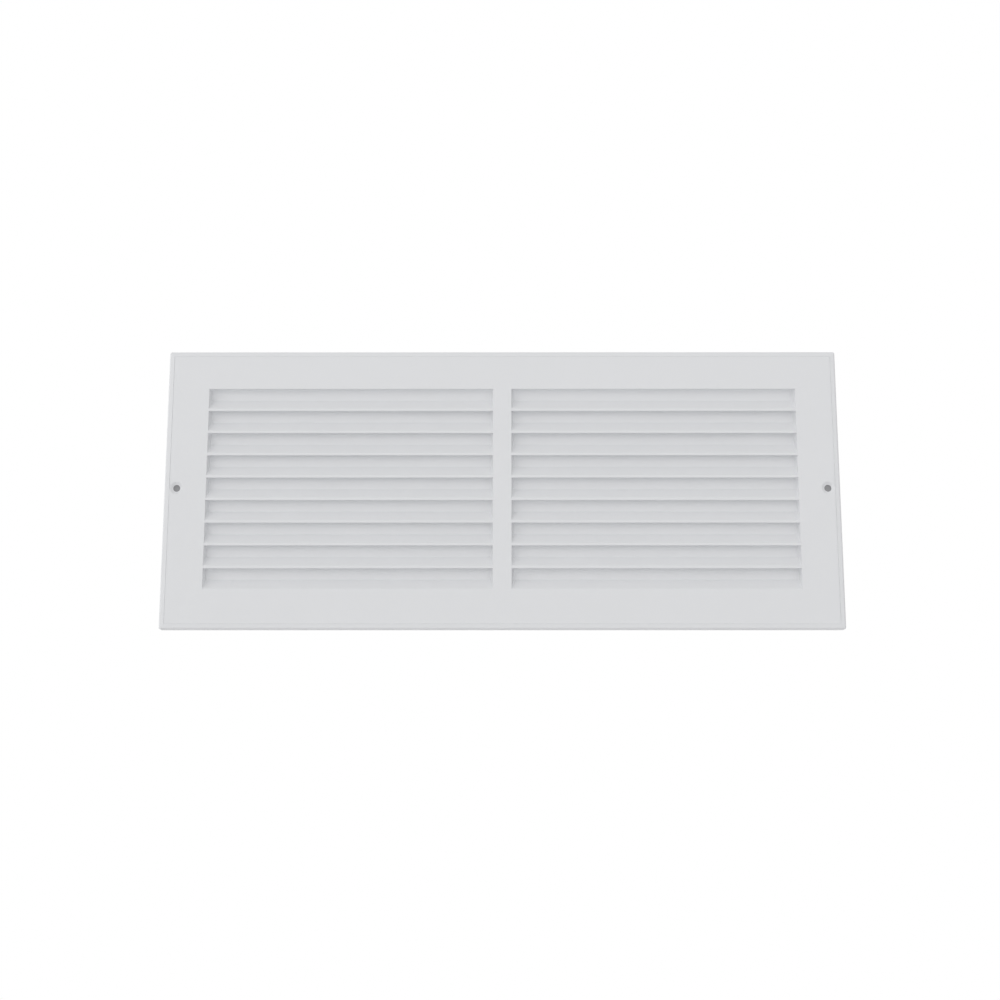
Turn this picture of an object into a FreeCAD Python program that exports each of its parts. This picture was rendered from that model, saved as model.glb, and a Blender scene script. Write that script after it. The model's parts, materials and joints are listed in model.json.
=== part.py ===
# Louvred return-air grille for a nominal 12 by 4 inch duct opening, pressed from one steel sheet.
#
# Frame, in millimetres: +X to the right and +Z up as seen from the room, +Y into the wall.
# The flat front face lies in the plane Y = 0, and the origin is its centre, midway between the
# two screw holes. Depths are measured from the front face, into the wall.
#
# The sheet is divided into solids along the lines where the press tool forms it: the flat
# faceplate, the bevelled rim of each side, and one louvre for each slot.

import FreeCAD
import Part
import math
import os

# Outline and sheet
WIDTH = 349.25
HEIGHT = 146.05
SHEET = 0.76
BEND_RADIUS = 0.4
CORNER_RADIUS = 1.2

# Rim: a shallow bevel, then the sheet turned back square to the wall, past the backs of the louvres
BEVEL_WIDTH = 2.7
BEVEL_DROP = 0.3
WALL_CLEARANCE = 0.34

# Louvre field
SIDE_MARGIN = 21.6
TOP_MARGIN = 20.2
BOTTOM_MARGIN = 20.15
MULLION_WIDTH = 9.6
LOUVRES_PER_BAY = 9
STRIP_HEIGHT = 0.85

# One louvre: the slope leans this far from the face, then the blade runs up parallel to the face
SLOPE_ANGLE = 40.0
LOUVRE_DEPTH = 4.4
BLADE_OVERLAP = 1.6
END_DRAFT = 0.7

# Screw holes, each in a pressed dimple that seats an oval-head No. 6 screw, just inside the bevel
HOLE_RADIUS = 1.8
DIMPLE_RADIUS = 3.1
DIMPLE_DEPTH = 1.0
BEVEL_TO_DIMPLE = 0.55

# Sizes that follow from the ones above
FIELD_HEIGHT = HEIGHT - TOP_MARGIN - BOTTOM_MARGIN
PITCH = (FIELD_HEIGHT + STRIP_HEIGHT) / LOUVRES_PER_BAY
SLOT_HEIGHT = PITCH - STRIP_HEIGHT
SLOT_WIDTH = (WIDTH - 2 * SIDE_MARGIN - MULLION_WIDTH) / 2
BAY_CENTRES = {
    "left": -(MULLION_WIDTH + SLOT_WIDTH) / 2,
    "right": (MULLION_WIDTH + SLOT_WIDTH) / 2,
}
OUTER_BEND = BEND_RADIUS + SHEET
RIM_DEPTH = LOUVRE_DEPTH + SHEET + WALL_CLEARANCE
HOLE_SPACING = WIDTH - 2 * (BEVEL_WIDTH + BEVEL_TO_DIMPLE + DIMPLE_RADIUS)

# How far a cutting shape reaches past the sheet that it cuts
REACH = 1.0


def vector(x, y, z):
    return FreeCAD.Vector(x, y, z)


def line(start, end):
    return Part.LineSegment(start, end).toShape()


def arc(start, centre, end):
    """The short arc from start to end about centre."""
    middle = (start - centre) + (end - centre)
    middle.Length = (start - centre).Length
    return Part.Arc(start, centre + middle, end).toShape()


def prism(edges, direction):
    """The solid swept by a closed outline of edges along a direction."""
    return Part.Face(Part.Wire(edges)).extrude(direction)


def polygon_prism(points, direction):
    """The solid swept by a polygon along a direction."""
    return Part.Face(Part.makePolygon(points + points[:1])).extrude(direction)


def block(x_low, x_high, y_low, y_high, z_low, z_high):
    """A box from its limits along each axis."""
    size = (x_high - x_low, y_high - y_low, z_high - z_low)
    return Part.makeBox(*size, vector(x_low, y_low, z_low))


def slot_bottoms():
    """The height of the bottom edge of each slot, from the top slot down."""
    top = HEIGHT / 2 - TOP_MARGIN
    return [top - SLOT_HEIGHT - number * PITCH for number in range(LOUVRES_PER_BAY)]


def screw_dimple(x):
    """A cone of sheet pressed inwards round a screw hole."""
    section = [
        vector(x + DIMPLE_RADIUS, 0, 0),
        vector(x + HOLE_RADIUS, DIMPLE_DEPTH, 0),
        vector(x + HOLE_RADIUS, DIMPLE_DEPTH + SHEET, 0),
        vector(x + DIMPLE_RADIUS, SHEET, 0),
    ]
    face = Part.Face(Part.makePolygon(section + section[:1]))
    return face.revolve(vector(x, 0, 0), vector(0, 1, 0), 360)


def faceplate():
    """The flat face: margins, mullion, the strips between slots, and the screw dimples."""
    half_width = WIDTH / 2 - BEVEL_WIDTH
    half_height = HEIGHT / 2 - BEVEL_WIDTH
    plate = block(-half_width, half_width, 0, SHEET, -half_height, half_height)
    slots = []
    for centre in BAY_CENTRES.values():
        left = centre - SLOT_WIDTH / 2
        for bottom in slot_bottoms():
            top = bottom + SLOT_HEIGHT
            slots.append(block(left, left + SLOT_WIDTH, -REACH, SHEET + REACH, bottom, top))
    plate = plate.cut(slots)
    for x in (-HOLE_SPACING / 2, HOLE_SPACING / 2):
        front = vector(x, -REACH, 0)
        opening = Part.makeCylinder(DIMPLE_RADIUS, SHEET + 2 * REACH, front, vector(0, 1, 0))
        plate = plate.cut(opening).fuse(screw_dimple(x))
    return plate.removeSplitter()


def rim_section(edge_height):
    """The outline of a rim along the bottom edge: bevel, bend and turned-back flange."""
    bevel = math.atan2(BEVEL_DROP, BEVEL_WIDTH)
    centre_depth = BEVEL_DROP + OUTER_BEND * (1 - math.sin(bevel)) / math.cos(bevel)
    centre = vector(0, centre_depth, edge_height + OUTER_BEND)

    def on_bevel(radius):
        return centre + vector(0, -radius * math.cos(bevel), -radius * math.sin(bevel))

    def on_wall(radius):
        return centre + vector(0, 0, -radius)

    face_front = vector(0, 0, edge_height + BEVEL_WIDTH)
    face_back = vector(0, SHEET, edge_height + BEVEL_WIDTH)
    flange_outer = vector(0, RIM_DEPTH, edge_height)
    flange_inner = vector(0, RIM_DEPTH, edge_height + SHEET)
    return [
        line(face_front, on_bevel(OUTER_BEND)),
        arc(on_bevel(OUTER_BEND), centre, on_wall(OUTER_BEND)),
        line(on_wall(OUTER_BEND), flange_outer),
        line(flange_outer, flange_inner),
        line(flange_inner, on_wall(BEND_RADIUS)),
        arc(on_wall(BEND_RADIUS), centre, on_bevel(BEND_RADIUS)),
        line(on_bevel(BEND_RADIUS), face_back),
        line(face_back, face_front),
    ]


def rim_along_bottom(length, edge_height):
    """One side's rim, mitred at 45 degrees where it meets its neighbours."""
    bar = prism(rim_section(edge_height), vector(length, 0, 0))
    bar.translate(vector(-length / 2, 0, 0))
    mitre = [
        vector(-length / 2, -REACH, edge_height),
        vector(length / 2, -REACH, edge_height),
        vector(length / 2 - BEVEL_WIDTH, -REACH, edge_height + BEVEL_WIDTH),
        vector(-length / 2 + BEVEL_WIDTH, -REACH, edge_height + BEVEL_WIDTH),
    ]
    return bar.common(polygon_prism(mitre, vector(0, RIM_DEPTH + 2 * REACH, 0)))


def rounded_outline():
    """A block of the grille's outline with its four corners rounded."""
    outline = block(-WIDTH / 2, WIDTH / 2, -REACH, RIM_DEPTH + REACH, -HEIGHT / 2, HEIGHT / 2)
    corners = [edge for edge in outline.Edges if abs(edge.tangentAt(edge.FirstParameter).y) > 0.9]
    return outline.makeFillet(CORNER_RADIUS, corners)


def rims():
    """The four rims. Each is made along the bottom and turned about Y to its own side."""
    outline = rounded_outline()
    made = {}
    for side, turn in {"bottom": 0, "left": 90, "top": 180, "right": -90}.items():
        if side in ("bottom", "top"):
            rim = rim_along_bottom(WIDTH, -HEIGHT / 2)
        else:
            rim = rim_along_bottom(HEIGHT, -WIDTH / 2)
        rim.rotate(vector(0, 0, 0), vector(0, 1, 0), turn)
        made["rim_" + side] = rim.common(outline)
    return made


def louvre_surface(offset):
    """The louvre's front surface in section, from its root line up to where the blade begins.

    The root line is at height 0. An offset of SHEET gives the back surface of the sheet.
    """
    lean = math.radians(SLOPE_ANGLE)
    turned = 1 - math.cos(lean)
    slope_length = (LOUVRE_DEPTH - (OUTER_BEND + BEND_RADIUS) * turned) / math.sin(lean)
    blade_start = (OUTER_BEND + BEND_RADIUS) * math.sin(lean) + slope_length * math.cos(lean)
    root = vector(0, OUTER_BEND, 0)
    crease = vector(0, LOUVRE_DEPTH - BEND_RADIUS, blade_start)
    root_radius = OUTER_BEND - offset
    crease_radius = BEND_RADIUS + offset
    root_start = root + vector(0, -root_radius, 0)
    root_end = root + vector(0, -math.cos(lean), math.sin(lean)) * root_radius
    crease_start = crease + vector(0, math.cos(lean), -math.sin(lean)) * crease_radius
    crease_end = crease + vector(0, crease_radius, 0)
    edges = [
        arc(root_start, root, root_end),
        line(root_end, crease_start),
        arc(crease_start, crease, crease_end),
    ]
    return edges, crease_end


def pocket_front():
    """The outline of the space in front of a louvre."""
    edges, blade_start = louvre_surface(0)
    top = SLOT_HEIGHT + BLADE_OVERLAP + REACH
    corners = [
        blade_start,
        vector(0, LOUVRE_DEPTH, top),
        vector(0, -REACH, top),
        vector(0, -REACH, 0),
        vector(0, 0, 0),
    ]
    return edges + [line(start, end) for start, end in zip(corners, corners[1:])]


def pocket_back():
    """The outline of a louvre and the space in front of it, up to the lanced edge of its end walls."""
    edges, blade_start = louvre_surface(SHEET)
    top = SLOT_HEIGHT + BLADE_OVERLAP
    corners = [
        blade_start,
        vector(0, LOUVRE_DEPTH + SHEET, top),
        vector(0, LOUVRE_DEPTH, top),
        vector(0, SHEET, SLOT_HEIGHT),
        vector(0, 0, SLOT_HEIGHT),
        vector(0, 0, 0),
        vector(0, SHEET, 0),
    ]
    return edges + [line(start, end) for start, end in zip(corners, corners[1:])]


def end_limits(thickness):
    """The slot and the space behind it between the drafted end walls, widened by a wall thickness."""
    draft = END_DRAFT / (LOUVRE_DEPTH - SHEET)
    back = LOUVRE_DEPTH + SHEET + REACH
    front_half = SLOT_WIDTH / 2 + thickness * math.hypot(1, draft)
    back_half = front_half - draft * (back - SHEET)
    top = SLOT_HEIGHT + BLADE_OVERLAP + 2 * REACH
    outline = [
        vector(-front_half, SHEET, -REACH),
        vector(front_half, SHEET, -REACH),
        vector(back_half, back, -REACH),
        vector(-back_half, back, -REACH),
    ]
    behind = polygon_prism(outline, vector(0, 0, top + REACH))
    slot = block(-SLOT_WIDTH / 2, SLOT_WIDTH / 2, -REACH, SHEET, -REACH, top)
    return slot.fuse(behind)


def louvre():
    """One louvre about X = 0, with the root line that joins it to the face at Z = 0."""
    span = SLOT_WIDTH + 2 * SHEET
    along = vector(span, 0, 0)
    outside = prism(pocket_back(), along)
    inside = prism(pocket_front(), along)
    for solid in (outside, inside):
        solid.translate(vector(-span / 2, 0, 0))
    outside = outside.common(end_limits(SHEET))
    return outside.cut(inside.common(end_limits(0)))


def louvres():
    """A louvre in every slot, numbered from the top down."""
    made = {}
    pattern = louvre()
    for bay, centre in BAY_CENTRES.items():
        for number, bottom in enumerate(slot_bottoms(), start=1):
            made[f"louvre_{bay}_{number}"] = pattern.translated(vector(centre, 0, bottom))
    return made


def single_solid(name, shape):
    """The one solid of a shape, or an error that names the piece."""
    if len(shape.Solids) != 1 or not shape.isValid():
        raise ValueError(f"{name} isn't one sound solid: {len(shape.Solids)} solids")
    return shape.Solids[0]


def main():
    os.makedirs("parts", exist_ok=True)
    pieces = {"faceplate": faceplate(), **rims(), **louvres()}
    for name, shape in pieces.items():
        solid = single_solid(name, shape)
        solid.exportStep(f"parts/{name}.step")
        print(f"{name}: {solid.Volume:.1f} cubic mm")
    slot = f"{SLOT_WIDTH:.2f} by {SLOT_HEIGHT:.2f}"
    print(f"{len(pieces)} pieces, louvre pitch {PITCH:.3f} mm, slots {slot} mm")


main()
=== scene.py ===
# %% [markdown]
# # A louvred return-air grille
#
# The real grille is one sheet of steel. A press cuts eighteen slits in it, pushes the metal below each
# slit inwards as a louvre, and turns the four edges back to meet the wall. Then it gets a white powder
# coat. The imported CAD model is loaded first, as the frame that everything is measured from.

# %% Load the CAD frame
import json
import math

import bmesh
import bpy
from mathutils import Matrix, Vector


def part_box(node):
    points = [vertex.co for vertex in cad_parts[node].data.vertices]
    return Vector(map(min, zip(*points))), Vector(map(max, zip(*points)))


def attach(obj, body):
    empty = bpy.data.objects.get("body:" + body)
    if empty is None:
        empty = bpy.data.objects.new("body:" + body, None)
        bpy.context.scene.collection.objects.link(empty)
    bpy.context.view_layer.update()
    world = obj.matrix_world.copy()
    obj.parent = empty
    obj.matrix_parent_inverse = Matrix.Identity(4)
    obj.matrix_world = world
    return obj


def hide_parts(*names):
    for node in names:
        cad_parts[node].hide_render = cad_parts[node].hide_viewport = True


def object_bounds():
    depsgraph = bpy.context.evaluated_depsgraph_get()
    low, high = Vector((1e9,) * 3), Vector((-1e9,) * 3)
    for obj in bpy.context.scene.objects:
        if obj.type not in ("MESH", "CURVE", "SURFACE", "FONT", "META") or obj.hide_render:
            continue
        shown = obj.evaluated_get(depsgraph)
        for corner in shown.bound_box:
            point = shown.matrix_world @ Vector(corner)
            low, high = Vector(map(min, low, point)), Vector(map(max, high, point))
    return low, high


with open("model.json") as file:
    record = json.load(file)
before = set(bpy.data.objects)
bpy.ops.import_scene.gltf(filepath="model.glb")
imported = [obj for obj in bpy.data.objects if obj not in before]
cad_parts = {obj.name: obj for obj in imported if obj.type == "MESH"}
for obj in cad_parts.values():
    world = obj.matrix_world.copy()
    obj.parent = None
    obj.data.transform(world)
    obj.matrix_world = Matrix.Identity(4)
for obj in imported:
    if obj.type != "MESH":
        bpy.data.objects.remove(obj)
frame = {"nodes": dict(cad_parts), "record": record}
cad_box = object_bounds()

MM = 0.001
print("CAD nodes:", len(frame["nodes"]))
print("CAD size in mm:", [round(side / MM, 2) for side in cad_box[1] - cad_box[0]])

# %% [markdown]
# Everything below is modelled as it would be by hand: add a primitive, go into edit mode, select some
# faces or edges, and use a tool on them. A mouse would click on them. A script picks them by where they
# are, so these few helpers open one mesh, pick its parts by a question, and close it again.

# %% Open, pick and close
SNAP = 0.001 * MM
CLOSE = 0.01 * MM


def alone(piece):
    """Makes a piece the only one that is selected, and the active one."""
    bpy.ops.object.select_all(action="DESELECT")
    piece.select_set(True)
    bpy.context.view_layer.objects.active = piece


def open_mesh(piece):
    alone(piece)
    bpy.ops.object.mode_set(mode="EDIT")
    bpy.ops.mesh.select_all(action="DESELECT")


def close_mesh():
    bpy.ops.object.mode_set(mode="OBJECT")


def pick(piece, kind, wanted):
    """Selects the VERT, EDGE or FACE parts that wanted says yes to, and returns how many there are."""
    bpy.ops.mesh.select_mode(type=kind)
    bpy.ops.mesh.select_all(action="DESELECT")
    mesh = bmesh.from_edit_mesh(piece.data)
    parts = {"VERT": mesh.verts, "EDGE": mesh.edges, "FACE": mesh.faces}[kind]
    found = [part for part in parts if wanted(part)]
    for part in found:
        part.select_set(True)
    mesh.select_flush_mode()
    bmesh.update_edit_mesh(piece.data)
    return len(found)


def middle(part):
    """The mean point of an edge or a face."""
    return sum((vertex.co for vertex in part.verts), Vector()) / len(part.verts)


def near(value, target):
    return abs(value - target) < CLOSE


def all_at(part, axis, target):
    """True where a whole edge or face lies at one place along an axis."""
    return all(near(vertex.co[axis], target) for vertex in part.verts)


X, Y, Z = range(3)

# %% [markdown]
# A press can't fold a sheet to a knife edge, and powder coat builds up round every corner. So each piece
# starts as a thin surface, gets the thickness of the sheet from a Solidify modifier, and is shaded smooth
# with its real folds kept sharp. Weighted normals keep the wide flats flat where they run into a bend.

# %% Give a surface the thickness of the sheet, and finish it
SHEET = 0.76 * MM
FOLD_ANGLE = math.radians(32)


def apply_modifier(piece, kind, **settings):
    alone(piece)
    bpy.ops.object.modifier_add(type=kind)
    modifier = piece.modifiers[-1]
    for name, value in settings.items():
        setattr(modifier, name, value)
    bpy.ops.object.modifier_apply(modifier=modifier.name)


def thicken(piece):
    """Adds the sheet's thickness behind the face that can be seen."""
    apply_modifier(piece, "SOLIDIFY", thickness=SHEET, offset=-1, use_even_offset=True)


def face_the_room(piece):
    """Turns an open surface so that its largest face looks out of the wall, along -Y."""
    faces = bmesh.from_edit_mesh(piece.data).faces
    largest = max(faces, key=lambda face: face.calc_area())
    if largest.normal.y > 0:
        bpy.ops.mesh.flip_normals()


def shade(piece):
    alone(piece)
    bpy.ops.object.shade_smooth_by_angle(angle=FOLD_ANGLE)
    apply_modifier(piece, "WEIGHTED_NORMAL", keep_sharp=True)


def add_box(name, low, high):
    """A box primitive at its size and place, with the place applied to its mesh."""
    bpy.ops.object.select_all(action="DESELECT")
    bpy.ops.mesh.primitive_cube_add(size=1, location=(Vector(low) + Vector(high)) / 2)
    piece = bpy.context.object
    piece.name = name
    piece.data.name = name
    piece.scale = Vector(high) - Vector(low)
    bpy.ops.object.transform_apply(location=True, rotation=True, scale=True)
    return piece


print("sheet thickness in mm:", SHEET / MM)

# %% [markdown]
# The rim is pressed like a shallow tray: a narrow bevel falls away from the flat face, then the metal
# bends and runs back square to the wall. Four separate strips would have to be matched at the corners,
# so one whole tray is made from a box, bevelled once, and cut into the four sides at the very end.

# %% Press the tray
BEVEL_WIDTH = 2.7 * MM
BEVEL_DROP = 0.3 * MM
INNER_BEND = 0.4 * MM
BEND_STEPS = 8
SHARP_ANGLE = math.radians(60)

low, high = cad_box
wall = high.y
bevel_angle = math.atan2(BEVEL_DROP, BEVEL_WIDTH)
bend_share = math.tan((math.radians(90) - bevel_angle) / 2)
print("bevel angle in degrees:", round(math.degrees(bevel_angle), 2))

tray = add_box("tray", (low.x, BEVEL_DROP, low.z), (high.x, wall, high.z))
open_mesh(tray)
pick(tray, "FACE", lambda face: all_at(face, Y, wall))
bpy.ops.mesh.delete(type="FACE")
pick(tray, "FACE", lambda face: all_at(face, Y, BEVEL_DROP))
bpy.ops.mesh.inset(thickness=BEVEL_WIDTH, depth=BEVEL_DROP)
close_mesh()
thicken(tray)


def on_outline(vertex):
    return near(abs(vertex.co.x), high.x) or near(abs(vertex.co.z), high.z)


def is_fold(edge, outside):
    """The edges to bend, on the outside or the inside of the sheet: its outline and its four corners."""
    sharp = edge.calc_face_angle(0) > SHARP_ANGLE
    side = all(on_outline(vertex) == outside for vertex in edge.verts)
    return sharp and side and not all_at(edge, Y, wall)


open_mesh(tray)
for outside, radius in ((True, INNER_BEND + SHEET), (False, INNER_BEND)):
    count = pick(tray, "EDGE", lambda edge: is_fold(edge, outside))
    bpy.ops.mesh.bevel(
        offset=radius * bend_share, segments=BEND_STEPS, affect="EDGES", clamp_overlap=False
    )
    print("edges bent to a radius of", round(radius / MM, 2), "mm:", count)
close_mesh()

# %% [markdown]
# A mitre saw would part the tray's four sides at 45 degrees. Here each side is a copy of the tray, and
# Bisect cuts away all that isn't that side, filling each cut so that the strip stays a closed solid.
# A bend as slight as this one hardly shows on a white sheet. So the edge where a rim meets the flat face
# is chamfered, and so is the face's own edge later, and together they leave a fine line round the face.

# %% Part the four sides


def cut(piece, point, direction):
    """Cuts away what lies on the far side of a plane, and closes the cut."""
    open_mesh(piece)
    bpy.ops.mesh.select_all(action="SELECT")
    bpy.ops.mesh.bisect(
        plane_co=point, plane_no=direction, use_fill=True, clear_outer=True, threshold=SNAP
    )
    close_mesh()


def copy_of(piece, name):
    """A copy with its own mesh."""
    alone(piece)
    bpy.ops.object.duplicate(linked=False)
    made = bpy.context.object
    made.name = name
    made.data.name = name
    return made


SCORE_LINE = 0.12 * MM


def is_score_line(edge, outward, inner_line):
    """The front edge of a rim, where it meets the flat face."""
    on_line = all(near((vertex.co - inner_line).dot(outward), 0) for vertex in edge.verts)
    return on_line and all_at(edge, Y, 0)


centre = (low + high) / 2
half = (high - low) / 2
rim_pieces = {}
OUTWARD = {"bottom": (0, -1), "top": (0, 1), "left": (-1, 0), "right": (1, 0)}
for side, (x, z) in OUTWARD.items():
    rim = copy_of(tray, f"rim_{side}_pressed")
    outward = Vector((x, 0, z))
    along = Vector((z, 0, x))
    half_across = half.dot(Vector((abs(x), 0, abs(z))))
    half_along = half.dot(Vector((abs(z), 0, abs(x))))
    inner_line = centre + outward * (half_across - BEVEL_WIDTH)
    cut(rim, inner_line, -outward)
    for end in (-1, 1):
        corner = centre + outward * half_across + along * end * half_along
        cut(rim, corner, (along * end - outward).normalized())
    open_mesh(rim)
    pick(rim, "EDGE", lambda edge: is_score_line(edge, outward, inner_line))
    bpy.ops.mesh.bevel(offset=SCORE_LINE, segments=1, affect="EDGES", clamp_overlap=False)
    close_mesh()
    shade(rim)
    rim_pieces[f"rim_{side}"] = rim
    print(rim.name, "length in mm:", round(max(rim.dimensions) / MM, 2))
bpy.data.objects.remove(tray)

# %% [markdown]
# A louvre is a pocket: a slope that leans inwards from the bottom of its slot, a crease, a blade that
# rises parallel to the face, and a wall at each end. A box already has those faces, so one box is
# opened at the front and top, and its bottom is tipped up into the slope. The next cells shape its ends,
# round its inner corners and bend its root.

# %% One louvre
SLOPE_ANGLE = math.radians(40)
LOUVRE_DEPTH = 4.4 * MM
BLADE_OVERLAP = 1.6 * MM
END_DRAFT = 0.7 * MM
ROOT_BEND = 1.16 * MM

first_low, first_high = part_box("louvre_left_1")
slot_left = first_low.x + SHEET
slot_right = first_high.x - SHEET
slot_bottom = first_low.z
slot_top = first_high.z - BLADE_OVERLAP
blade_top = first_high.z
root_line = slot_bottom + ROOT_BEND * math.tan(SLOPE_ANGLE / 2)
crease_line = root_line + LOUVRE_DEPTH / math.tan(SLOPE_ANGLE)
slot_width = slot_right - slot_left
print("slot in mm:", round(slot_width / MM, 2), "by", round((slot_top - slot_bottom) / MM, 2))

louvre = add_box("louvre", (slot_left, 0, slot_bottom), (slot_right, LOUVRE_DEPTH, blade_top))
open_mesh(louvre)
pick(louvre, "FACE", lambda face: all_at(face, Y, 0) or all_at(face, Z, blade_top))
bpy.ops.mesh.delete(type="FACE")
for depth, height in ((LOUVRE_DEPTH, crease_line), (0, root_line)):
    pick(louvre, "EDGE", lambda edge: all_at(edge, Y, depth) and all_at(edge, Z, slot_bottom))
    bpy.ops.transform.translate(value=(0, 0, height - slot_bottom))
print("slope from", round(root_line / MM, 2), "to", round(crease_line / MM, 2), "mm up the face")

# %% [markdown]
# The end walls only start behind the sheet, because in front of that the edge of the slot is the end.
# So the pocket is cut across at the sheet's back, and the walls' front strips go. The back is scaled in
# towards the middle, because a punch comes out easily only where the walls lean apart. The sheared top
# of each wall rises towards the blade.

# %% End walls
bpy.ops.mesh.select_all(action="SELECT")
bpy.ops.mesh.bisect(plane_co=(0, SHEET, 0), plane_no=(0, 1, 0), threshold=SNAP)


def is_end_wall(face):
    return all_at(face, X, slot_left) or all_at(face, X, slot_right)


pick(louvre, "FACE", lambda face: is_end_wall(face) and middle(face).y < SHEET)
bpy.ops.mesh.delete(type="FACE")
pick(louvre, "VERT", lambda vertex: near(vertex.co.y, LOUVRE_DEPTH))
slot_middle = Vector(((slot_left + slot_right) / 2, 0, slot_bottom))
drawn_in = (slot_width - 2 * END_DRAFT) / slot_width
bpy.ops.transform.resize(value=(drawn_in, 1, 1), center_override=slot_middle)
lance = Vector((0, LOUVRE_DEPTH - SHEET, BLADE_OVERLAP))
bpy.ops.mesh.select_all(action="SELECT")
bpy.ops.mesh.bisect(
    plane_co=(0, SHEET, slot_top),
    plane_no=Vector((0, -lance.z, lance.y)).normalized(),
    clear_outer=True,
    threshold=SNAP,
)
print("width of the pocket at its back in mm:", round((slot_width - 2 * END_DRAFT) / MM, 2))

# %% [markdown]
# The punch was well rounded where its ends met its slope, and tighter along the blade and the crease. The
# Bevel modifier can do all three at once, because each edge may carry a weight, which is its share of the
# modifier's width.

# %% Round the inside of the pocket
END_ROUND = 0.7 * MM
BLADE_SHARE = 0.6
CREASE_SHARE = 0.4
ROUND_STEPS = 5
FLAT_ANGLE = math.radians(20)
FACES_SIDEWAYS = 0.7


def share_of_round(edge):
    """How much of the full round an inner corner gets. A flat edge gets none."""
    if edge.calc_face_angle(0) < FLAT_ANGLE:
        return 0
    if not any(abs(face.normal.x) > FACES_SIDEWAYS for face in edge.link_faces):
        return CREASE_SHARE
    return BLADE_SHARE if all_at(edge, Y, LOUVRE_DEPTH) else 1


mesh = bmesh.from_edit_mesh(louvre.data)
mesh.normal_update()
weight = mesh.edges.layers.float.new("bevel_weight_edge")
for edge in mesh.edges:
    edge[weight] = share_of_round(edge)
shares = sorted(round(edge[weight], 2) for edge in mesh.edges if edge[weight])
bmesh.update_edit_mesh(louvre.data)
close_mesh()
apply_modifier(
    louvre,
    "BEVEL",
    width=END_ROUND,
    segments=ROUND_STEPS,
    limit_method="WEIGHT",
    use_clamp_overlap=False,
)
print("shares of the inner corners:", shares)

# %% [markdown]
# The root is where the strip of face below the slot bends into the slope. A short flat strip is
# extruded down first, and a bevel exactly as wide as that strip turns it into the bend. Solidify then
# tilts the root's end with the first face of the bend, so the back of that end is scaled flat again, and
# the louvre lies square on the faceplate.

# %% Bend the root
ROOT_STEPS = 6
ROOT_END_HEIGHT = 0.2 * MM
SHEET_SLACK = 0.1 * MM


def is_back_of_root_end(vertex):
    """A point at the louvre's lowest end, on the back of the sheet."""
    low_enough = vertex.co.z < slot_bottom + ROOT_END_HEIGHT
    return low_enough and abs(vertex.co.y - SHEET) < SHEET_SLACK


open_mesh(louvre)
pick(louvre, "EDGE", lambda edge: all_at(edge, Y, 0))
down = (0, 0, slot_bottom - root_line)
bpy.ops.mesh.extrude_region_move(TRANSFORM_OT_translate={"value": down})
pick(louvre, "EDGE", lambda edge: all_at(edge, Y, 0) and all_at(edge, Z, root_line))
bpy.ops.mesh.bevel(
    offset=root_line - slot_bottom, segments=ROOT_STEPS, affect="EDGES", clamp_overlap=False
)
bpy.ops.mesh.select_all(action="SELECT")
bpy.ops.mesh.remove_doubles(threshold=SNAP)
bpy.ops.mesh.normals_make_consistent(inside=False)
face_the_room(louvre)
close_mesh()
thicken(louvre)
open_mesh(louvre)
pick(louvre, "VERT", is_back_of_root_end)
bpy.ops.transform.resize(value=(1, 1, 0), center_override=slot_middle)
close_mesh()
shade(louvre)
print("louvre faces:", len(louvre.data.polygons))

# %% [markdown]
# The other seventeen louvres come off the same punch, so they are copies, each with its own mesh, moved
# by the distance between its CAD node and the first one. The move is applied to the mesh, because a
# pattern that reads object coordinates would otherwise start again on each louvre.

# %% Copy the louvre to every slot
louvre_pieces = {}
for node in sorted(name for name in frame["nodes"] if name.startswith("louvre_")):
    piece = copy_of(louvre, f"{node}_pressed")
    piece.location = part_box(node)[0] - first_low
    bpy.ops.object.transform_apply(location=True, rotation=True, scale=True)
    louvre_pieces[node] = piece
bpy.data.objects.remove(louvre)
print("louvres:", len(louvre_pieces))

# %% [markdown]
# The faceplate is the part of the sheet that stays flat: margins, a mullion down the middle, and the
# strips between the slots. A plane is scored across by Bisect along each line where a slot begins or
# ends, and the panels inside the slots are taken out.

# %% Faceplate with its slots
plate_low, plate_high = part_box("faceplate")
bpy.ops.object.select_all(action="DESELECT")
bpy.ops.mesh.primitive_plane_add(size=1, rotation=(math.radians(90), 0, 0))
plate = bpy.context.object
plate.name = "faceplate_pressed"
plate.data.name = plate.name
plate.scale = (plate_high.x - plate_low.x, plate_high.z - plate_low.z, 1)
bpy.ops.object.transform_apply(location=True, rotation=True, scale=True)

slots = []
for node in louvre_pieces:
    node_low, node_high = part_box(node)
    slots.append((node_low.x + SHEET, node_high.x - SHEET, node_low.z, node_high.z - BLADE_OVERLAP))


def score(piece, axis, place):
    """Scores a line across the whole piece."""
    direction = Vector((0, 0, 0))
    direction[axis] = 1
    bpy.ops.mesh.select_all(action="SELECT")
    bpy.ops.mesh.bisect(plane_co=direction * place, plane_no=direction, threshold=SNAP)


def in_a_slot(point):
    return any(left < point.x < right and bottom < point.z < top for left, right, bottom, top in slots)


open_mesh(plate)
for place in sorted({round(side, 7) for slot in slots for side in slot[:2]}):
    score(plate, X, place)
for place in sorted({round(side, 7) for slot in slots for side in slot[2:]}):
    score(plate, Z, place)
print("panels taken out:", pick(plate, "FACE", lambda face: in_a_slot(middle(face))))
bpy.ops.mesh.delete(type="FACE")

# %% [markdown]
# Each screw sits in a dimple, so that its head doesn't stand proud of the face. Bisect only scores
# straight lines, so a small square round the hole is scored and taken out. Its edge is divided and
# extruded, and To Sphere rounds that new edge into a circle.

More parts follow.
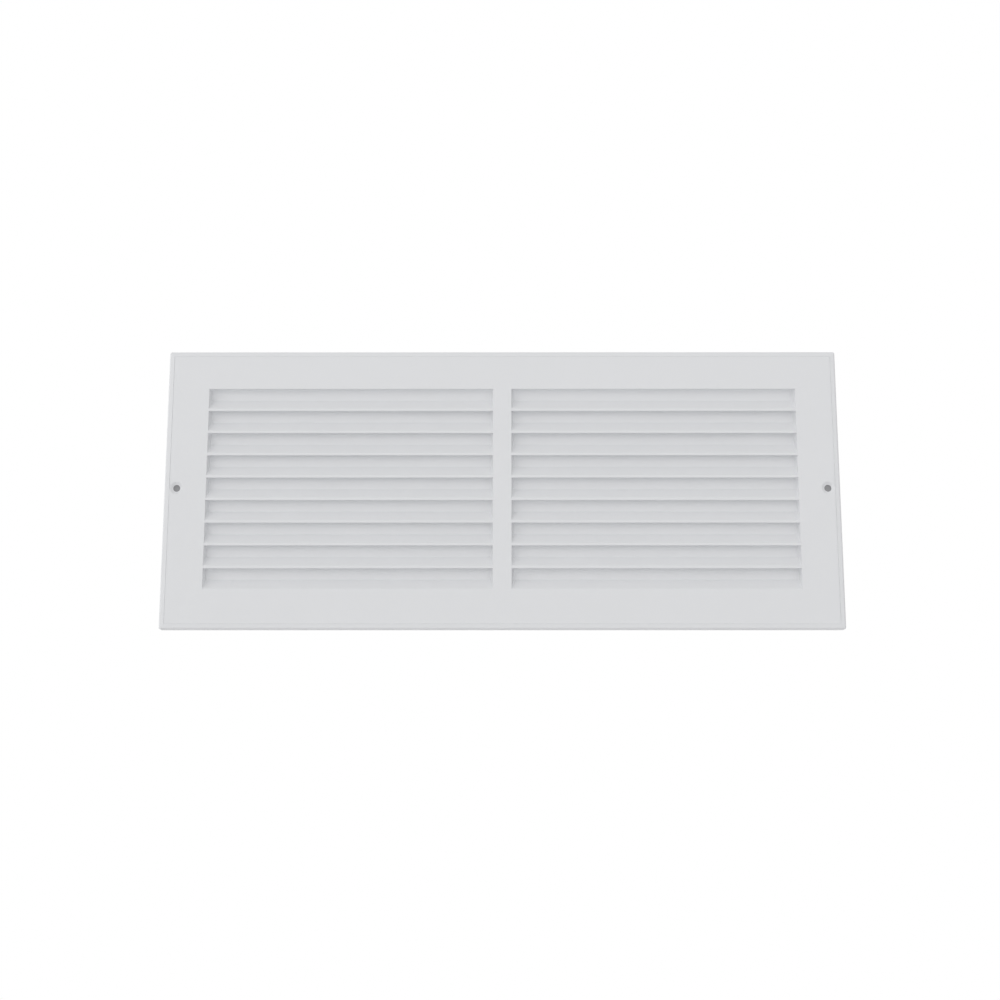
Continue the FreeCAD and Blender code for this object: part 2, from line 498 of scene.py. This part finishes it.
# %% A round opening for each dimple
DIMPLE_RADIUS = 3.5 * MM
DIMPLE_SIDES = 48
SQUARE_GAP = 0.05 * MM
screws = next(mount for mount in frame["record"]["mounts"] if mount["kind"] == "bolt_pattern")
hole_radius = screws["dims"]["hole_r_mm"] * MM
hole_reach = screws["dims"]["spacing_x_mm"] * MM / 2
hole_height = screws["pos_m"][2]
square = (plate_high.x - hole_reach) - SQUARE_GAP
print("side of the square in mm:", round(2 * square / MM, 2))


def reach(point, place):
    """How far a point lies from a hole, measured along X or Z, whichever is more."""
    return max(abs(step) for step in point - place)


def extrude_ring(inwards, shrink, place):
    """Extrudes the selected ring of edges inwards, and scales the new ring about the hole."""
    bpy.ops.mesh.extrude_region_move(TRANSFORM_OT_translate={"value": (0, inwards, 0)})
    bpy.ops.transform.resize(value=(shrink, 1, shrink), center_override=place)


def open_circle(piece, x):
    """Takes out a square of the sheet round a hole, and leaves a round opening in its place."""
    place = Vector((x, 0, hole_height))

    def on_square(edge):
        is_open = len(edge.link_faces) == 1
        return is_open and all(near(reach(vertex.co, place), square) for vertex in edge.verts)

    for axis, line in ((X, x), (Z, hole_height)):
        for edge_line in (line - square, line + square):
            score(piece, axis, edge_line)
    pick(piece, "FACE", lambda face: reach(middle(face), place) < square)
    bpy.ops.mesh.delete(type="FACE")
    pick(piece, "EDGE", on_square)
    bpy.ops.mesh.subdivide(number_cuts=DIMPLE_SIDES // 4 - 1)
    pick(piece, "EDGE", on_square)
    extrude_ring(0, 1, place)
    bpy.ops.transform.tosphere(value=1)
    ring = [vertex.co - place for vertex in bmesh.from_edit_mesh(piece.data).verts if vertex.select]
    shrink = DIMPLE_RADIUS / (sum(arm.length for arm in ring) / len(ring))
    bpy.ops.transform.resize(value=(shrink, 1, shrink), center_override=place)
    print("points round the opening:", len(ring))


# %% [markdown]
# The punch leaves no crease at the rim of a dimple. So the circle is extruded ring by ring down a soft
# S-shaped slope to the hole, flat at both its ends, and not along one straight cone.

# %% Screw dimples
DIMPLE_DEPTH = plate_high.y - SHEET
DIMPLE_STEPS = 8


def press_dimple(x):
    """Extrudes the opening's edge down to the hole, and leaves the hole's own edge selected."""
    place = Vector((x, 0, hole_height))
    radius, depth = DIMPLE_RADIUS, 0
    for step in range(1, DIMPLE_STEPS + 1):
        share = step / DIMPLE_STEPS
        next_radius = DIMPLE_RADIUS + (hole_radius - DIMPLE_RADIUS) * share
        next_depth = DIMPLE_DEPTH * share * share * (3 - 2 * share)
        extrude_ring(next_depth - depth, next_radius / radius, place)
        radius, depth = next_radius, next_depth
    print("hole radius in mm:", round(radius / MM, 2), "at a depth of", round(depth / MM, 2))


for x in (-hole_reach, hole_reach):
    open_circle(plate, x)
    press_dimple(x)
bpy.ops.mesh.select_all(action="SELECT")
bpy.ops.mesh.normals_make_consistent(inside=False)
face_the_room(plate)
close_mesh()
thicken(plate)

# %% [markdown]
# The tops and ends of the slots were sheared, and the coat has rounded them a little. Their bottoms stay
# as they are, because they run on into the bends of the louvres. The face's own outline gets the same
# small chamfer, which is the other half of the fine line where it meets the rims.

# %% Soften the edges of the faceplate
COAT_ROUND = 0.12 * MM
COAT_ROUND_STEPS = 2


def is_soft_edge(edge):
    """A front edge at the top or at an end of a slot, or on the outline of the face."""
    if not all_at(edge, Y, 0):
        return False
    if all_at(edge, X, plate_low.x) or all_at(edge, X, plate_high.x):
        return True
    if all_at(edge, Z, plate_low.z) or all_at(edge, Z, plate_high.z):
        return True
    place = middle(edge)
    for left, right, bottom, top in slots:
        at_end = (near(place.x, left) or near(place.x, right)) and bottom < place.z < top
        at_top = near(place.z, top) and left < place.x < right
        if at_end or at_top:
            return True
    return False


open_mesh(plate)
print("softened edges:", pick(plate, "EDGE", is_soft_edge))
bpy.ops.mesh.bevel(
    offset=COAT_ROUND, segments=COAT_ROUND_STEPS, affect="EDGES", clamp_overlap=False
)
close_mesh()
shade(plate)
print("faceplate faces:", len(plate.data.polygons))

# %% [markdown]
# ## Finish
#
# A material is a small graph of nodes. One helper turns the hex colour that a paint chart gives into the
# linear light that a shader reckons with, and one adds a node with its settings and its links.

# %% Node helpers


def linear(code):
    """An sRGB hex colour as the linear colour that a shader takes."""
    parts = [int(code[at : at + 2], 16) / 255 for at in (1, 3, 5)]
    light = [part / 12.92 if part <= 0.04045 else ((part + 0.055) / 1.055) ** 2.4 for part in parts]
    return light + [1]


def add_node(tree, kind, settings=None, values=None, links=None):
    """Adds a node with its settings, its sockets' values, and links from other nodes' outputs."""
    node = tree.nodes.new(kind)
    for name, value in (settings or {}).items():
        setattr(node, name, value)
    for name, value in (values or {}).items():
        node.inputs[name].default_value = value
    for name, output in (links or {}).items():
        tree.links.new(output, node.inputs[name])
    return node


# %% [markdown]
# Polyester powder is sprayed on dry and baked until it flows into one skin. That skin is close to white
# with a trace of blue, has a satin gloss, and keeps a faint orange peel of shallow dimples a millimetre
# or two apart. Its colour and gloss vary slightly over tens of millimetres, with the thickness of the
# coat. One wide noise drives both, so that the coat is glossier where its colour is fuller.

# %% Satin white powder coat
COAT_WHITE = "#E4E5E7"
COAT_THIN = "#E2E3E5"
COAT_ROUGHNESS = 0.42
ROUGHNESS_SPREAD = 0.05
CLOUD_SIZE = 35 * MM

powder_coat = bpy.data.materials.new("satin_white_powder_coat")
powder_coat.use_nodes = True
tree = powder_coat.node_tree
tree.nodes.clear()
place = add_node(tree, "ShaderNodeTexCoord").outputs["Object"]
clouds = add_node(
    tree,
    "ShaderNodeTexNoise",
    values={"Scale": 1 / CLOUD_SIZE, "Detail": 2.0, "Roughness": 0.5},
    links={"Vector": place},
)
colour = add_node(
    tree,
    "ShaderNodeMix",
    {"data_type": "RGBA"},
    {"A": linear(COAT_WHITE), "B": linear(COAT_THIN)},
    {"Factor": clouds.outputs["Fac"]},
)
gloss = add_node(
    tree,
    "ShaderNodeMapRange",
    values={"To Min": COAT_ROUGHNESS - ROUGHNESS_SPREAD, "To Max": COAT_ROUGHNESS + ROUGHNESS_SPREAD},
    links={"Value": clouds.outputs["Fac"]},
)
print("a patch of even colour is about", round(CLOUD_SIZE / MM), "mm wide")

# %% [markdown]
# The orange peel is only microns high, far too fine to model. A second, finer noise goes into a Bump
# node, which changes how light falls on the coat and leaves the mesh alone.

# %% Orange peel, and the shader
PEEL_SIZE = 1.6 * MM
PEEL_HEIGHT = 0.004 * MM
peel = add_node(
    tree,
    "ShaderNodeTexNoise",
    values={"Scale": 1 / PEEL_SIZE, "Detail": 1.0, "Roughness": 0.4},
    links={"Vector": place},
)
bump = add_node(
    tree,
    "ShaderNodeBump",
    values={"Strength": 1.0, "Distance": PEEL_HEIGHT},
    links={"Height": peel.outputs["Fac"]},
)
shader = add_node(
    tree,
    "ShaderNodeBsdfPrincipled",
    values={"IOR": 1.5, "Metallic": 0.0},
    links={
        "Base Color": colour.outputs["Result"],
        "Roughness": gloss.outputs["Result"],
        "Normal": bump.outputs["Normal"],
    },
)
add_node(tree, "ShaderNodeOutputMaterial", links={"Surface": shader.outputs["BSDF"]})
print("nodes in the coat:", len(tree.nodes))

# %% [markdown]
# Every pressed piece now gets the coat, rides on the grille's one body, and stands for the CAD node
# that it was made from.

# %% Hand the pieces over
pressed = {"faceplate": plate, **rim_pieces, **louvre_pieces}
for node, piece in pressed.items():
    piece.data.materials.clear()
    piece.data.materials.append(powder_coat)
    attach(piece, "root")
    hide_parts(node)
print("pieces:", len(pressed), "faces:", sum(len(piece.data.polygons) for piece in pressed.values()))

# %% [markdown]
# ## Studio
#
# The grille hangs in the air over a pale floor, inside a white tent that glows softly all round. A sheet
# this flat and this pale shows its shape only by small steps of grey, and hard lamps would drown them.

# %% Floor
FLOOR_DROP = 0.55
FLOOR_RADIUS = 2.2
FLOOR_SIDES = 96
FLOOR_GREY = "#E8E8E8"
FLOOR_ROUGHNESS = 0.8


def plain_paint(name, code, roughness):
    """A material with one colour and one roughness."""
    paint = bpy.data.materials.new(name)
    paint.use_nodes = True
    inputs = paint.node_tree.nodes["Principled BSDF"].inputs
    inputs["Base Color"].default_value = linear(code)
    inputs["Roughness"].default_value = roughness
    return paint


bpy.ops.mesh.primitive_circle_add(
    vertices=FLOOR_SIDES, radius=FLOOR_RADIUS, fill_type="NGON", location=(0, 0, low.z - FLOOR_DROP)
)
floor = bpy.context.object
floor.name = "studio_floor"
floor.data.materials.append(plain_paint("pale_studio_floor", FLOOR_GREY, FLOOR_ROUGHNESS))
print("floor in metres below the grille:", FLOOR_DROP)

# %% [markdown]
# On a wall the two screw holes look dark, because there is no light behind them. In the studio the pale
# background would shine through, so a small disc of grey card stands close behind each hole, lit mostly
# through the hole itself. Its grey is painted shade, in place of the shaded wall behind a hung grille.
# Like the floor, the discs belong to the stage and not to the grille.

# %% Painted shade behind the screw holes
SHADE_DISC_THICKNESS = 0.3 * MM
SHADE_DISC_SIDES = 32
# The card's grey is painted shade: it stands in for the wall in shadow behind the holes.
PAINTED_SHADE_GREY = "#A0A0A2"
CARD_ROUGHNESS = 0.9
painted_shade = plain_paint("painted_shade_card", PAINTED_SHADE_GREY, CARD_ROUGHNESS)
for side, x in (("left", -hole_reach), ("right", hole_reach)):
    bpy.ops.mesh.primitive_cylinder_add(
        vertices=SHADE_DISC_SIDES,
        radius=hole_radius + SHEET / 2,
        depth=SHADE_DISC_THICKNESS,
        location=(x, plate_high.y + SHADE_DISC_THICKNESS, hole_height),
        rotation=(math.radians(90), 0, 0),
    )
    disc = bpy.context.object
    disc.name = f"studio_shade_{side}"
    disc.data.materials.append(painted_shade)
    print(disc.name, "at", [round(part / MM, 2) for part in disc.location], "mm")

# %% [markdown]
# The tent is the world's own colour, so there is no lamp to place. It glows a little on every side, more
# in front, on the left and behind, and a trace more above. The light from the left leaves each pocket
# darker at its left end, and the light from behind comes in over the tops of the blades. The camera sees
# the tent as plain white.

# %% Light
EVEN_GLOW = 0.31
LEFT_GLOW = 0.7
FRONT_GLOW = 0.74
BACK_GLOW = 0.85
TOP_GLOW = 0.05
TENT_SIDES = (
    (LEFT_GLOW, (-1, 0, 0)),
    (FRONT_GLOW, (0, -1, 0)),
    (BACK_GLOW, (0, 1, 0)),
    (TOP_GLOW, (0, 0, 1)),
)
BACKDROP_WHITE = (1, 1, 1, 1)
world = bpy.data.worlds.new("studio_tent")
bpy.context.scene.world = world
world.use_nodes = True
tent = world.node_tree
tent.nodes.clear()
looking = add_node(tent, "ShaderNodeTexCoord").outputs["Generated"]
glow = add_node(tent, "ShaderNodeValue").outputs[0]
glow.default_value = EVEN_GLOW
for strength, direction in TENT_SIDES:
    facing = add_node(
        tent, "ShaderNodeVectorMath", {"operation": "DOT_PRODUCT"}, {1: direction}, {0: looking}
    )
    share = add_node(
        tent, "ShaderNodeMath", {"operation": "MAXIMUM"}, {1: 0.0}, {0: facing.outputs["Value"]}
    )
    glow = add_node(
        tent,
        "ShaderNodeMath",
        {"operation": "MULTIPLY_ADD"},
        {1: strength},
        {0: share.outputs[0], 2: glow},
    ).outputs[0]
seen = add_node(tent, "ShaderNodeBackground", values={"Color": BACKDROP_WHITE, "Strength": 1.0})
lit = add_node(tent, "ShaderNodeBackground", values={"Color": BACKDROP_WHITE}, links={"Strength": glow})
ray = add_node(tent, "ShaderNodeLightPath")
choice = add_node(
    tent,
    "ShaderNodeMixShader",
    links={0: ray.outputs["Is Camera Ray"], 1: lit.outputs[0], 2: seen.outputs[0]},
)
add_node(tent, "ShaderNodeOutputWorld", links={"Surface": choice.outputs[0]})
print("nodes in the tent:", len(tent.nodes))

# %% [markdown]
# The camera stands below the grille and looks up at it a little, from just over three quarters of a metre
# away, so the face narrows slightly towards its top. The Standard view transform shows the greys as the
# shader worked them out, with no film curve over them.

# %% Camera
CAMERA_DISTANCE = 0.7825
CAMERA_RISE = math.radians(-11.025)
CAMERA_TURN = math.radians(0.066)
AIM = Vector((-1.16, 1.17, -6.13)) * MM
LENS = 54.57
SENSOR_WIDTH = 36
NEAREST = 0.01
bpy.ops.object.camera_add()
camera = bpy.context.object
camera.name = "studio_camera"
camera.data.lens = LENS
camera.data.sensor_width = SENSOR_WIDTH
back = Vector(
    (
        math.sin(CAMERA_TURN) * math.cos(CAMERA_RISE),
        -math.cos(CAMERA_TURN) * math.cos(CAMERA_RISE),
        math.sin(CAMERA_RISE),
    )
)
camera.location = AIM + back * CAMERA_DISTANCE
camera.rotation_euler = (-back).to_track_quat("-Z", "Y").to_euler()
camera.data.clip_start = NEAREST
bpy.context.scene.camera = camera
bpy.context.scene.view_settings.view_transform = "Standard"
print("camera at", [round(part, 4) for part in camera.location])
